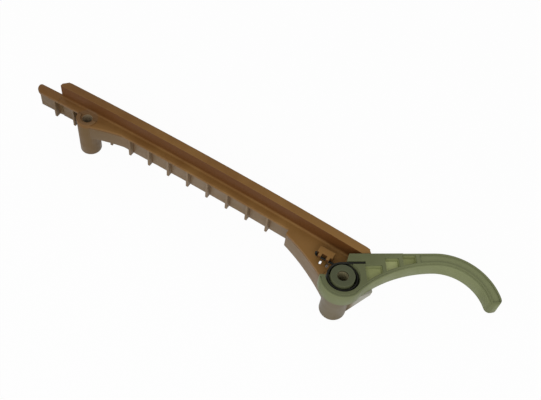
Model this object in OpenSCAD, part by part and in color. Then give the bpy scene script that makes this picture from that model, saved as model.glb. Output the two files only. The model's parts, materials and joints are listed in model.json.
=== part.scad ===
// Chain guide rail with a sprung tensioner arm on its pivot boss.
// The origin is on the pivot bolt's axis at the mounting face. +Z runs up along the bolts,
// +X runs along the rail towards the arm, and +Y points to the chain side.

/* [Rail] */
// Height of the deck's top above the mounting face
deck_z = 30.5; // [26:0.5:40]
// Thickness of the deck
deck_t = 2.2; // [1.6:0.1:3]
// Inset of the deck's far edge from the sliding face
deck_inset = 0.4; // [0.2:0.1:1]
// Reach of the deck's straight edge from the lower web
deck_reach = 4; // [3:0.1:6]
// Height of the upper wall above the deck
wall_h = 10.8; // [8:0.1:14]
// Thickness of the upper wall
wall_t = 3; // [2:0.1:4]
// Thickness of the lower web
web_t = 4.4; // [3.6:0.1:6]
// Depth of the lower web below the deck's top
web_drop = 19; // [16:0.5:24]
// Radius of the fillet between the upper wall and the deck
wall_fillet = 1.4; // [0.5:0.1:2]
// Bow radius of the sliding face
bow_r = 3000; // [1500:50:6000]
// Distance from the pivot to the middle of the bow, along the rail
bow_mid = 112; // [90:1:130]
// Distance from the pivot to the sliding face at the middle of the bow
face_y = 25.8; // [24:0.1:32]
// Distance from the pivot to the left end of the sliding face
face_left = 227.5; // [215:0.5:260]
// Distance from the pivot to the right end of the sliding face
face_right = 8; // [6:0.5:14]
// Height of the two chain lips above the sliding face
lip_h = 2.7; // [1:0.1:4]
// Thickness of the chain lips
lip_t = 2.2; // [1.2:0.1:3]
// Slope of the lead-in at the ends of the lips, in degrees
lead_angle = 6; // [3:1:15]
// Length of the lead-in at each end
lead_len = 5.5; // [4:0.5:14]
// Length of the cut corner at each end of the lips
lead_corner = 3; // [1:0.1:4]

/* [Tongue] */
// Length of the tongue past the sliding face
tongue_len = 19; // [10:0.5:30]
// Radius of the nose's corner on the chain side
nose_far_r = 1.6; // [0.6:0.1:2.4]
// Radius of the nose's corner on the boss side
nose_near_r = 5; // [2:0.1:5]
// Step from the rail's faces in to the tongue's faces
tongue_step = 0.2; // [0.1:0.05:0.6]
// Thickness of the web under the tongue
tongue_web_t = 3.1; // [2:0.1:3.6]

/* [Ribs] */
// Distance between neighbouring ribs
rib_pitch = 15.45; // [10:0.05:25]
// Thickness of a rib
rib_t = 1.7; // [1:0.1:3]
// Reach of a rib from the lower web
rib_reach = 3.5; // [1:0.1:6]
// Height of the ribs' lower ends above the lower web's edge
rib_lift = 0.3; // [0.2:0.1:4]
// Distance from the pivot to the nearest rib
rib_start = 61.6; // [50:0.1:75]

/* [Bosses] */
// Distance from the pivot bolt to the rail bolt, along the rail
bolt_dx = 202; // [190:1:210]
// Distance from the pivot bolt to the rail bolt, across the rail
bolt_dy = 15.3; // [13:0.1:17]
// Diameter of the pivot boss
pivot_boss_d = 17; // [15:0.1:20]
// Diameter of the rail boss
rail_boss_d = 14.5; // [12:0.5:17]
// Height of the rail boss's rim above the deck
rail_boss_rim = 0.8; // [0.4:0.1:3]
// Width of the land between the rail bolt's hole and the rim
rail_boss_land = 1.2; // [0.6:0.1:2]
// Depth of the land below the deck's top
rail_boss_spot = 0.5; // [0.5:0.1:1]
// Gap between the deck's straight edge and the rim
rail_boss_gap = 0.4; // [0.2:0.1:2]
// Diameter of the two bolt holes
bolt_hole_d = 6.6; // [5.5:0.1:7]
// Radius of the concave flares that carry the bosses
flare_r = 140; // [80:1:300]
// Depth to which an edge runs into the round boss that it joins
boss_bite = 0.4; // [0.2:0.1:1]
// Length of the flare beside the pivot boss
pivot_flare = 45.5; // [36:0.5:55]
// Step of the deck's edge where the pivot flare starts
flare_step = 3.6; // [1:0.1:6]
// Length of the flare beside the rail boss
rail_flare = 27; // [22:0.5:45]
// Step from the deck's edge in to the skirt under a flare
skirt_step = 0.2; // [0.1:0.05:0.6]
// Thickness of the skirt under a flare
skirt_t = 2; // [1.2:0.1:3]
// Depth of the skirt at the pivot boss below the deck's top
pivot_skirt = 18.5; // [10:0.5:20]
// Rise of that skirt's lower edge from the boss to the flare's start
pivot_skirt_rise = 4; // [1:0.5:6]
// Depth of the skirt at the rail boss below the deck's top
rail_skirt = 13; // [8:0.5:18]
// Diameter of the round seat under the arm's hub
seat_d = 24.4; // [22:0.1:27]
// Height of the seat above the deck
seat_rise = 0.15; // [0.1:0.05:0.5]
// Direction of the deck's edge beside the seat, in degrees
seat_edge_angle = 57; // [50:1:65]
// Length of the deck's edge beside the seat
seat_edge = 16; // [8:0.2:18]
// Height of the corner gusset's lower end above the mounting face
gusset_lift = 1; // [0.5:0.5:12]
// Depth of the corner gusset's outer end below the deck
gusset_end = 0.6; // [0.2:0.1:3]
// Inset of the corner gusset's outer end from the deck's corner
gusset_inset = 0.6; // [0.2:0.1:3]
// Outside diameter of the pivot tube
pivot_d = 10.4; // [9:0.1:11.4]

/* [Arm] */
// Direction of the arm at rest, in degrees from the rail
arm_angle = 34.7; // [25:0.1:40]
// Height of the arm
arm_h = 11.2; // [9:0.1:16]
// Diameter of the arm's hub
hub_d = 28; // [26:0.1:31]
// Distance from the pivot to the start of the arm's bend
bend_start = 58; // [52:0.5:80]
// Outside radius of the bend
bend_r = 35.5; // [24:0.5:45]
// Angle of the bend
bend_angle = 83; // [50:1:105]
// Width of the arm in the bend
arm_w = 8.1; // [6.8:0.1:10]
// Step from the hub's edge out to the shoulder
shoulder_step = 1.1; // [0.3:0.1:1.8]
// Step from the hub's edge out to the sliding shoe
shoe_step = 0.9; // [0.2:0.1:1.5]
// Distance from the pivot to the start of the sliding shoe
shoe_start = 38.5; // [36:0.5:44]
// Corner radius of the arm's tip
tip_r = 3.4; // [1:0.1:3.4]
// Thickness of the end wall at the arm's tip
tip_wall = 1.6; // [1.4:0.1:6]
// Depth of the three pockets in the arm's root
pocket_depth = 4.6; // [2:0.1:8]
// Depth of the long pocket that runs to the tip
long_pocket_depth = 1; // [0.5:0.1:8]
// Width of the rim on the inner side of the pockets
near_rim = 2.4; // [1.2:0.1:3]
// Width of the rim on the chain side of the third pocket and the long pocket
far_rim = 1.2; // [0.8:0.1:2.5]
// Thickness of the cross ribs between the pockets
cross_rib = 2.4; // [1:0.1:4]
// Start of the first pocket from the pivot
pocket_start = 14.1; // [14:0.1:17]
// Position of the first cross rib from the pivot
cross_rib_1 = 24.5; // [20:0.1:27]
// Position of the second cross rib from the pivot
cross_rib_2 = 35.4; // [32:0.1:38]
// Position of the third cross rib from the pivot
cross_rib_3 = 46.2; // [43:0.1:47]
// Thickness of the shoulder beside the first pocket
shoulder_1 = 8.2; // [7.4:0.1:9.5]
// Thickness of the shoulder beside the second pocket
shoulder_2 = 3.2; // [2:0.1:6]
// Distance from the pivot to the shoulder's end
shoulder_start = 5.5; // [3:0.1:9]
// Width of the ledge along the arm's inner edge
ledge_w = 1.2; // [0.6:0.1:1.8]
// Drop of the ledge below the arm's top
ledge_drop = 1.1; // [0.4:0.1:3]
// End of the open side of the hub, in degrees from the arm
hub_open_angle = 174; // [150:1:185]
// Thickness of the hub's floor under the coil
hub_floor = 1.2; // [0.8:0.1:1.6]

/* [Spring] */
// Diameter of the spring wire
wire_d = 1.5; // [1:0.1:1.7]
// Mean diameter of the coil
coil_d = 18; // [17.6:0.1:18.8]
// Whole turns of the coil
coil_turns = 5; // [3:1:5]
// Direction in which the fixed leg leaves the coil, in degrees
fixed_leg_angle = 181; // [174:1:184]
// Length of the fixed leg
fixed_leg = 22; // [21.8:0.1:26]
// Height of the fixed leg's bent end
fixed_leg_hook = 3; // [2:0.1:5]
// Length of the arm's leg
arm_leg = 14.5; // [10:0.5:20]
// Depth of the coil's top below the hub's top
coil_drop = 0.5; // [0.2:0.1:1]

/* [Spring clip] */
// Distance along the fixed leg to the clip
clip_start = 11.4; // [11:0.1:13]
// Length of the clip along the leg
clip_len = 10.2; // [8:0.1:10.4]
// Depth of the clip
clip_depth = 4.5; // [3:0.1:6]
// Height of the clip above the deck
clip_h = 6; // [5.6:0.1:8]
// Wall thickness of the clip
clip_t = 1.3; // [0.8:0.1:1.6]
// Width of each finger over the leg
finger_w = 2; // [1:0.1:2.4]
// Distance along the leg from the clip's start to the first core hole
core_hole_start = 1.7; // [1.2:0.1:3]
// Distance between the core holes
core_hole_pitch = 4.5; // [4:0.1:6]
// Distance of the core holes from the leg
core_hole_reach = 1.2; // [1:0.1:4]
// Width of the core holes in the deck
core_hole_w = 1.5; // [1:0.1:2.4]
// Length of the core holes in the deck
core_hole_l = 3.2; // [2:0.1:3.2]

/* [Clearances] */
// Gap between the arm and its seat
seat_gap = 0.3; // [0.2:0.05:0.6]
// Radial running clearance of the hub on the pivot tube
pivot_clear = 0.05; // [0.02:0.01:0.1]
// Gap between the shoulder and the rail's stop face
stop_gap = 0.4; // [0.3:0.05:0.8]
// Gap between the spring's legs and what holds them
spring_gap = 0.25; // [0.15:0.05:0.4]
// Gap between the coil and the walls of its groove
coil_gap = 0.75; // [0.4:0.05:0.9]
// Radial clearance of the hub's cap round the bolt
cap_clear = 0.2; // [0.1:0.05:0.4]
// Thickness of the hub's cap over the pivot tube
cap_t = 1.5; // [1:0.1:2.5]

/* [Hidden] */
$fn = 96;
over = 1;
bow_fn = 1440;
arc_steps = 32;
wire_sides = 10;
wire_step = 12;
amber = [0.50, 0.34, 0.17];
sage = [0.45, 0.48, 0.34];
black = [0.12, 0.12, 0.11];

web_z = deck_z - web_drop;
rail_top = deck_z + wall_h;
bow_centre = [-bow_mid, face_y - bow_r];
rail_bolt = [-bolt_dx, bolt_dy];
pivot_boss_r = pivot_boss_d / 2;
rail_boss_r = rail_boss_d / 2;
seat_r = seat_d / 2;
edge_v = web_t + deck_reach;
// The deck's edge beside the seat runs from a point under the hub to the corner
seat_touch = (seat_r - boss_bite) * [sin(seat_edge_angle), -cos(seat_edge_angle)];
seat_corner = seat_touch + seat_edge * [cos(seat_edge_angle), sin(seat_edge_angle)];

hub_r = hub_d / 2;
arm_z = deck_z + seat_rise + seat_gap;
arm_top = arm_z + arm_h;
shoulder_v = hub_r + shoulder_step;
shoe_v = hub_r + shoe_step;
bend_v = shoe_v - bend_r;
inner_bend_r = bend_r - arm_w;
root_v = shoe_v - arm_w;
// The root's inner edge is an arc that meets the bend and runs a little way into the hub
touch_r = hub_r - boss_bite;
root_r = (bend_start * bend_start + root_v * root_v - touch_r * touch_r) / (2 * (touch_r + root_v));
root_centre = [bend_start, root_v - root_r];
root_touch = touch_r * root_centre / norm(root_centre);
bend_centre = [bend_start, bend_v];
bend_end = 90 - bend_angle;
pivot_r = pivot_d / 2;
tube_top = arm_top - cap_t - seat_gap;

wire_r = wire_d / 2;
coil_r = coil_d / 2;
groove_in = coil_r - wire_r - coil_gap;
groove_out = coil_r + wire_r + coil_gap;
coil_low = arm_z + hub_floor + spring_gap + wire_r;
coil_high = arm_top - coil_drop - wire_r;
fixed_touch = fixed_leg_angle - 90;
arm_touch = arm_angle + 90;
coil_sweep = 360 * coil_turns - (arm_touch - fixed_touch);
clip_near = wire_r + spring_gap;
clip_far = clip_near + clip_depth;
finger_z = coil_low + wire_r + spring_gap;

// Y of the sliding face at a place along the rail
function face_at(x) = bow_centre[1] + sqrt(bow_r * bow_r - pow(x - bow_centre[0], 2));

// Centre of the circle of radius r that passes through p and touches a round boss from outside
function touch_centre(p, boss, boss_r, r, side) =
    let (d = boss - p, gap = norm(d), far = r + boss_r,
         along = (r * r - far * far + gap * gap) / (2 * gap),
         across = sqrt(r * r - along * along),
         dir = d / gap)
    p + along * dir + side * across * [-dir[1], dir[0]];

pivot_flare_p = [-pivot_flare, face_at(-pivot_flare) - edge_v - flare_step];
pivot_flare_c = touch_centre(pivot_flare_p, [0, 0], pivot_boss_r - boss_bite, flare_r, -1);
rail_flare_p = [rail_bolt[0] + rail_flare, face_at(rail_bolt[0] + rail_flare) - edge_v];
rail_flare_c = touch_centre(rail_flare_p, rail_bolt, rail_boss_r - boss_bite, flare_r, 1);
// The skirt beside the rail boss runs on to the next rib and ends inside it
rail_skirt_rib = max(0, floor((-rail_flare_p[0] - rib_start) / rib_pitch));
rail_skirt_x = -rib_start - rail_skirt_rib * rib_pitch;
rail_skirt_along = rail_skirt_x - rail_flare_c[0];
rail_skirt_p = rail_flare_c + [rail_skirt_along, sqrt(pow(flare_r, 2) - pow(rail_skirt_along, 2))];

// Carries its children to the sliding face at x, with +Y along the face's normal
module on_face(x) {
    translate(bow_centre) rotate(-asin((x - bow_centre[0]) / bow_r)) translate([0, bow_r]) children();
}

// Sweeps a section along the bow. The section's x is the distance from the sliding face.
module bowed(x0, x1) {
    a0 = asin((x0 - bow_centre[0]) / bow_r);
    a1 = asin((x1 - bow_centre[0]) / bow_r);
    translate(bow_centre) rotate(90 - a1)
        rotate_extrude(angle = a1 - a0, $fn = bow_fn) translate([bow_r, 0]) children();
}

module rail_section() {
    fillet = [for (a = [0 : 22.5 : 90])
        [-wall_t - wall_fillet * (1 - sin(a)), deck_z + wall_fillet * (1 - cos(a))]];
    polygon(concat(
        [[-web_t, web_z], [lip_h, web_z], [lip_h, web_z + lip_t], [0, web_z + lip_t],
         [0, rail_top - lip_t], [lip_h, rail_top - lip_t], [lip_h, rail_top], [-wall_t, rail_top]],
        [for (i = [len(fillet) - 1 : -1 : 0]) fillet[i]],
        [[-web_t, deck_z - deck_t / 2]]));
}

// Space outside a round corner at the origin. The tongue lies to +X and to the given side in Y.
module corner_cut(r, side) {
    arc = [for (a = [195 : 15 : 255]) r * [1 + cos(a), 1 + sin(a)]];
    reach = r / norm(arc[0] - arc[1]);
    first = arc[0] + reach * (arc[0] - arc[1]);
    last = arc[4] + reach * (arc[4] - arc[3]);
    mirror([0, side < 0 ? 1 : 0, 0]) translate([0, 0, web_z - over])
        linear_extrude(web_drop + 2 * over) polygon(concat([-r * [1, 1], first], arc, [last]));
}

module tongue() {
    far_v = web_t - tongue_web_t;
    near_v = edge_v - tongue_step;
    top = deck_z - tongue_step;
    low = web_z + tongue_step;
    left = -face_left - tongue_len;
    difference() {
        bowed(left, -face_left + over) polygon([
            [tongue_step - web_t, low], [-far_v, low], [-far_v, top], [-near_v, top],
            [-near_v, top - deck_t], [tongue_step - web_t, top - deck_t]]);
        on_face(left) translate([0, -far_v]) corner_cut(nose_far_r, -1);
        on_face(left) translate([0, -near_v]) corner_cut(nose_near_r, 1);
    }
}

// Slopes the lips down at one end of the sliding face. side is -1 at the left end and 1 at the right.
module lead_in(x, side) {
    height = rail_top - web_z + 2 * over;
    on_face(x - side * lead_len) mirror([side < 0 ? 1 : 0, 0, 0]) {
        translate([0, lip_h, web_z - over]) rotate(-lead_angle) translate([-over, 0, 0])
            cube([2 * lead_len, 2 * lip_h, height]);
        translate([lead_len - lead_corner, lip_h - lead_len * tan(lead_angle), web_z - over]) rotate(-45)
            cube([2 * lead_len, 4 * lip_h, height]);
    }
}

module ribs() {
    last = -face_left - tongue_len / 2;
    for (x = [-rib_start : -rib_pitch : last])
        if (abs(x - rail_bolt[0]) > rail_boss_r)
            on_face(x) translate([-rib_t / 2, -web_t - rib_reach, web_z + rib_lift])
                cube([rib_t, rib_reach + tongue_web_t / 2, web_drop - deck_t / 2 - rib_lift]);
}

// Points on a circle round c, from one angle to another
function arc(c, r, a0, a1, steps) = [for (i = [0 : steps])
    let (a = a0 + (a1 - a0) * i / steps) c + r * [cos(a), sin(a)]];

// Points along the rail at a distance from the sliding face
function rail_line(v, x0, x1) = [for (i = [0 : arc_steps])
    let (x = x0 + (x1 - x0) * i / arc_steps) [x, face_at(x) - v]];

// Direction from c to p, in degrees
function heading(c, p) = atan2(p[1] - c[1], p[0] - c[0]);

// The whole deck in plan: rail, both flares, and the corner beside the seat
module deck() {
    left = -face_left + over / 2;
    right = face_right - over;
    translate([0, 0, deck_z - deck_t]) linear_extrude(deck_t) polygon(concat(
        rail_line(edge_v, left, rail_bolt[0] - rail_boss_r + over),
        arc(rail_flare_c, flare_r, heading(rail_flare_c, rail_bolt),
            heading(rail_flare_c, rail_flare_p), arc_steps),
        rail_line(edge_v, rail_flare_p[0] + over, pivot_flare_p[0]),
        arc(pivot_flare_c, flare_r, heading(pivot_flare_c, pivot_flare_p),
            heading(pivot_flare_c, [0, 0]), arc_steps),
        [seat_touch, seat_corner],
        rail_line(deck_inset, right, left)));
}

// Upright wall under a flare's round edge, from p to the boss
module skirt(p, boss, centre, drop) {
    r = flare_r + skirt_step;
    a0 = heading(centre, p);
    a1 = heading(centre, boss);
    translate([0, 0, deck_z - drop]) linear_extrude(drop - deck_t / 2) polygon(concat(
        arc(centre, r, a0, a1, arc_steps), arc(centre, r + skirt_t, a1, a0, arc_steps)));
}

// Skirt beside the pivot boss, with its lower edge rising away from the boss
module pivot_boss_skirt() {
    slope = atan(pivot_skirt_rise / pivot_flare);
    difference() {
        skirt(pivot_flare_p, [0, 0], pivot_flare_c, pivot_skirt);
        translate([-pivot_flare, 0, deck_z - pivot_skirt + pivot_skirt_rise]) rotate([0, slope, 0])
            translate([-pivot_flare, -flare_r, -pivot_skirt])
            cube([2 * pivot_flare, 2 * flare_r, pivot_skirt]);
    }
}

// Triangular gusset from the pivot boss out to the deck's corner beside the seat
module corner_gusset() {
    reach = norm(seat_corner) - gusset_inset;
    top = deck_z - deck_t / 3;
    rotate(heading([0, 0], seat_corner)) rotate([90, 0, 0]) translate([0, 0, -skirt_t / 2])
        linear_extrude(skirt_t) polygon([[0, gusset_lift], [pivot_boss_r - boss_bite, gusset_lift],
            [reach, deck_z - deck_t - gusset_end], [reach, top], [0, top]]);
}

// Rail boss with a raised rim on its near side, outside the deck's straight edge
module rail_boss() {
    rim_low = deck_z - rail_boss_gap;
    difference() {
        translate(rail_bolt) cylinder(d = rail_boss_d, h = deck_z + rail_boss_rim);
        on_face(rail_bolt[0]) translate([-rail_boss_d, -edge_v - rail_boss_gap, rim_low])
            cube([2 * rail_boss_d, 2 * edge_v, deck_z + rail_boss_rim + over - rim_low]);
    }
}

// Flat land round the rail bolt's hole
module rail_boss_land_cut() {
    translate([rail_bolt[0], rail_bolt[1], deck_z - rail_boss_spot])
        cylinder(d = bolt_hole_d + 2 * rail_boss_land, h = rail_boss_spot + rail_boss_rim + over);
}

// Two upright ribs under the deck that tie the pivot boss to the lower web
module boss_ribs() {
    drop = pivot_skirt - pivot_skirt_rise;
    for (x = [0, -pivot_flare / 2]) {
        end = [x, face_at(x) - web_t / 2];
        length = norm(end);
        translate([0, 0, deck_z - drop]) rotate(atan2(end[1], end[0]))
            translate([0, -skirt_t / 2, 0]) cube([length, skirt_t, drop - deck_t / 2]);
    }
}

// Carries its children to where the fixed leg leaves the coil, with +X along the leg
module on_fixed_leg() {
    translate(coil_r * [cos(fixed_touch), sin(fixed_touch)]) rotate(fixed_leg_angle) children();
}

// Places of the clip's two fingers along the fixed leg
finger_inset = clip_t + finger_w / 2;
finger_places = [clip_start + finger_inset, clip_start + clip_len - finger_inset];

// Small arch on the deck that holds the fixed leg back and down
module spring_clip() {
    on_fixed_leg() translate([clip_start, -clip_far, deck_z - deck_t / 2]) {
        rise = clip_h + deck_t / 2;
        cube([clip_len, clip_t, rise]);
        for (x = [0, clip_len - clip_t])
            translate([x, 0, 0]) cube([clip_t, clip_depth, rise]);
        translate([0, 0, rise - clip_t]) cube([clip_len, clip_depth, clip_t]);
    }
    on_fixed_leg() for (x = finger_places)
        translate([x - finger_w / 2, -clip_near - clip_t, finger_z])
            cube([finger_w, clip_near + clip_t + wire_d, deck_z + clip_h - finger_z]);
}

module core_holes() {
    first = clip_start + core_hole_start;
    on_fixed_leg() for (x = [first, first + core_hole_pitch])
        translate([x - core_hole_w / 2, core_hole_reach - core_hole_l / 2, deck_z - deck_t - over])
            cube([core_hole_w, core_hole_l, deck_t + 2 * over]);
}

module guide_rail() {
    color(amber)
    difference() {
        union() {
            difference() {
                bowed(-face_left, face_right) rail_section();
                lead_in(-face_left, -1);
                lead_in(face_right, 1);
                // Stop face for the arm's shoulder
                rotate(arm_angle)
                    translate([-hub_d, shoulder_v + stop_gap - 2 * hub_d, deck_z - deck_t / 2])
                    cube([4 * hub_d, 2 * hub_d, wall_h + deck_t]);
            }
            tongue();
            deck();
            ribs();
            skirt(rail_skirt_p, rail_bolt, rail_flare_c, rail_skirt);
            pivot_boss_skirt();
            corner_gusset();
            boss_ribs();
            cylinder(d = pivot_boss_d, h = deck_z - deck_t / 2);
            translate([0, 0, deck_z - deck_t - seat_rise]) cylinder(r = seat_r, h = deck_t + 2 * seat_rise);
            cylinder(r = pivot_r, h = tube_top);
            rail_boss();
            spring_clip();
        }
        core_holes();
        rail_boss_land_cut();
        translate([0, 0, -over]) cylinder(d = bolt_hole_d, h = tube_top + 2 * over);
        translate([rail_bolt[0], rail_bolt[1], -over])
            cylinder(d = bolt_hole_d, h = deck_z + 2 * over);
    }
}

// Points along the root's inner edge, set back by a rim, between two places along the arm
function root_edge(rim, u0, u1) = [for (i = [0 : arc_steps])
    let (u = u0 + (u1 - u0) * i / arc_steps)
    [u, root_centre[1] + sqrt(pow(root_r + rim, 2) - pow(u - bend_start, 2))]];

module arm_blank() {
    tip_steps = 6;
    inner_tip = bend_centre + (inner_bend_r + tip_r) * [cos(bend_end), sin(bend_end)];
    outer_tip = bend_centre + (bend_r - tip_r) * [cos(bend_end), sin(bend_end)];
    cylinder(r = hub_r, h = arm_h);
    linear_extrude(arm_h) polygon(concat(
        [[0, 0]],
        root_edge(0, root_touch[0], bend_start),
        arc(bend_centre, inner_bend_r, 90, bend_end, arc_steps),
        arc(inner_tip, tip_r, bend_end + 180, bend_end + 270, tip_steps),
        arc(outer_tip, tip_r, bend_end - 90, bend_end, tip_steps),
        arc(bend_centre, bend_r, bend_end, 90, arc_steps),
        [[shoe_start, shoe_v], [shoe_start, shoulder_v], [0, shoulder_v]]));
}

// Cuts a pocket of the given outline and depth into the arm's top
module pocket(outline, depth) {
    translate([0, 0, arm_h - depth]) linear_extrude(depth + over) polygon(outline);
}

// One pocket in the arm's root between two places along the arm
module root_pocket(u0, u1, far_v) {
    pocket(concat(root_edge(near_rim, u0, u1), [[u1, far_v], [u0, far_v]]), pocket_depth);
}

module pockets() {
    long_start = cross_rib_3 + cross_rib;
    long_end = bend_end + (tip_wall - tip_r) / bend_r * 180 / PI;
    root_pocket(pocket_start, cross_rib_1, shoulder_v - shoulder_1);
    root_pocket(cross_rib_1 + cross_rib, cross_rib_2, shoulder_v - shoulder_2);
    root_pocket(cross_rib_2 + cross_rib, cross_rib_3, shoe_v - far_rim);
    pocket(concat(
        root_edge(near_rim, long_start, bend_start),
        arc(bend_centre, inner_bend_r + near_rim, 90, long_end, arc_steps),
        arc(bend_centre, bend_r - far_rim, long_end, 90, arc_steps),
        [[long_start, shoe_v - far_rim]]), long_pocket_depth);
}

// Low ledge round the hub's near side and along the arm's inner edge to its tip
module ledge() {
    base = arm_h - ledge_drop;
    difference() {
        translate([-2 * hub_r, -2 * hub_r, base])
            cube([2 * hub_r + root_touch[0], 2 * hub_r, ledge_drop + over]);
        translate([0, 0, base - over]) cylinder(r = hub_r - ledge_w, h = ledge_drop + 3 * over);
    }
    start = hub_r / 2;
    past_tip = bend_end - 10;
    translate([0, 0, base]) linear_extrude(ledge_drop + over) polygon(concat(
        root_edge(ledge_w, start, bend_start),
        arc(bend_centre, inner_bend_r + ledge_w, 90, past_tip, arc_steps),
        [bend_centre, [start, -hub_r]]));
}

// Groove for the coil, its open side and the slot for the arm's leg
module spring_space() {
    reach = 2 * hub_r;
    slot_v = coil_r - wire_r - spring_gap;
    slot_z = coil_high - arm_z - wire_r - spring_gap;
    translate([0, 0, hub_floor]) difference() {
        cylinder(r = groove_out, h = arm_h);
        translate([0, 0, -over]) cylinder(r = groove_in, h = arm_h + 2 * over);
    }
    difference() {
        translate([0, 0, -over]) linear_extrude(arm_h + 2 * over)
            polygon([[0, 0], [shoulder_start, shoulder_v], [shoulder_start, reach], [-reach, reach],
                reach * [cos(hub_open_angle), sin(hub_open_angle)]]);
        translate([0, 0, -2 * over]) cylinder(r = groove_out, h = arm_h + 4 * over);
    }
    translate([0, slot_v, slot_z]) cube([arm_leg + spring_gap, wire_d + 2 * spring_gap, arm_h]);
}

module tensioner_arm() {
    color(sage)
    translate([0, 0, arm_z]) rotate(arm_angle) difference() {
        arm_blank();
        pockets();
        ledge();
        spring_space();
        translate([0, 0, -over]) cylinder(r = pivot_r + pivot_clear, h = arm_h - cap_t + over);
        translate([0, 0, -over]) cylinder(r = bolt_hole_d / 2 + cap_clear, h = arm_h + 2 * over);
    }
}

// Each point of the wire's path is [x, y, z, heading in degrees]
function fixed_leg_point(along, z) =
    let (start = coil_r * [cos(fixed_touch), sin(fixed_touch)],
         dir = [cos(fixed_leg_angle), sin(fixed_leg_angle)])
    [start[0] + along * dir[0], start[1] + along * dir[1], z, fixed_leg_angle + 180];

function coil_point(turned) =
    let (a = fixed_touch - turned)
    [coil_r * cos(a), coil_r * sin(a), coil_low + (coil_high - coil_low) * turned / coil_sweep, a - 90];

function arm_leg_point(along) =
    let (start = coil_r * [cos(arm_touch), sin(arm_touch)])
    [start[0] + along * cos(arm_angle), start[1] + along * sin(arm_angle), coil_high, arm_angle];

function xyz(p) = [p[0], p[1], p[2]];

// Closed tube of round section along a path
module wire(path, r, sides) {
    last = len(path) - 1;
    points = [for (i = [0 : last])
        let (ahead = xyz(path[min(i + 1, last)]) - xyz(path[max(i - 1, 0)]),
             across = [-sin(path[i][3]), cos(path[i][3]), 0],
             up = cross(ahead / norm(ahead), across))
        for (k = [0 : sides - 1])
            xyz(path[i]) + r * (cos(360 * k / sides) * across + sin(360 * k / sides) * up)];
    skin = [for (i = [0 : last - 1], k = [0 : sides - 1])
        let (n = (k + 1) % sides, a = i * sides, b = a + sides)
        each [[a + k, a + n, b + n], [a + k, b + n, b + k]]];
    ends = [[for (k = [sides - 1 : -1 : 0]) k], [for (k = [0 : sides - 1]) last * sides + k]];
    polyhedron(points = points, faces = concat(ends, skin), convexity = 10);
}

module torsion_spring() {
    count = ceil(coil_sweep / wire_step);
    hook_r = wire_d;
    path = concat(
        [fixed_leg_point(fixed_leg, coil_low + fixed_leg_hook)],
        [for (i = [0 : 2]) fixed_leg_point(fixed_leg - hook_r * (1 - cos(30 * i)),
            coil_low + hook_r * (1 - sin(30 * i)))],
        [fixed_leg_point(fixed_leg - hook_r, coil_low)],
        [for (i = [0 : count]) coil_point(coil_sweep * i / count)],
        [arm_leg_point(arm_leg / 2), arm_leg_point(arm_leg)]);
    color(black) wire(path, wire_r, wire_sides);
}

guide_rail();
tensioner_arm();
torsion_spring();
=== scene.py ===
"""Chain guide rail with a sprung tensioner arm: moulded pieces, finishes, stage and camera."""

import json
import math

import bmesh
import bpy
from mathutils import Matrix, Vector

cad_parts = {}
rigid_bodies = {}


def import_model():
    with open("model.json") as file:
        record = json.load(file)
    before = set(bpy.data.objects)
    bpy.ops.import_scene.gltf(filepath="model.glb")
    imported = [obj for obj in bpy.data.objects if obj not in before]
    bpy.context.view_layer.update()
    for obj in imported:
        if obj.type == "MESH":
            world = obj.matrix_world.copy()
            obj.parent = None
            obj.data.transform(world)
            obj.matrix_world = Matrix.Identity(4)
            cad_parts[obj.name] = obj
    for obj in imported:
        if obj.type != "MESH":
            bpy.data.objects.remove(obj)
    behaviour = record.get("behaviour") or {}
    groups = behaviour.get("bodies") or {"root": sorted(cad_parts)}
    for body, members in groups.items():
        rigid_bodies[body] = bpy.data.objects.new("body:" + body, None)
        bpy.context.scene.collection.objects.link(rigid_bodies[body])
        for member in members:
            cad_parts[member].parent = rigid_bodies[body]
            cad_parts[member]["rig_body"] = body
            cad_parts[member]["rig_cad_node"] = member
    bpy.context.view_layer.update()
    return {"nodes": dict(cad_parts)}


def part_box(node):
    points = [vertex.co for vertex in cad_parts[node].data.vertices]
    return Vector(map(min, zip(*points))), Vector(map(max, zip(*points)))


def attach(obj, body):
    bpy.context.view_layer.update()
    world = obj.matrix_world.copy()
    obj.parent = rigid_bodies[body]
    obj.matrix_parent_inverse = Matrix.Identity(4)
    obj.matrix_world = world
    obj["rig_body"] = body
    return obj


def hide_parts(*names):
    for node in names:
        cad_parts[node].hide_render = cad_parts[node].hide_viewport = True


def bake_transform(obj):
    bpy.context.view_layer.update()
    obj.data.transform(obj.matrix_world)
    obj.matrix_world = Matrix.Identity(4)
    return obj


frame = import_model()

bl_info = {
    "name": "Chain Guide",
    "version": (1, 0, 0),
    "blender": (4, 5, 0),
    "location": "View3D > Sidebar > Chain Guide",
    "description": "Dresses the chain guide rail, its tensioner arm and its torsion spring",
    "category": "Object",
}

MM = 0.001


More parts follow.
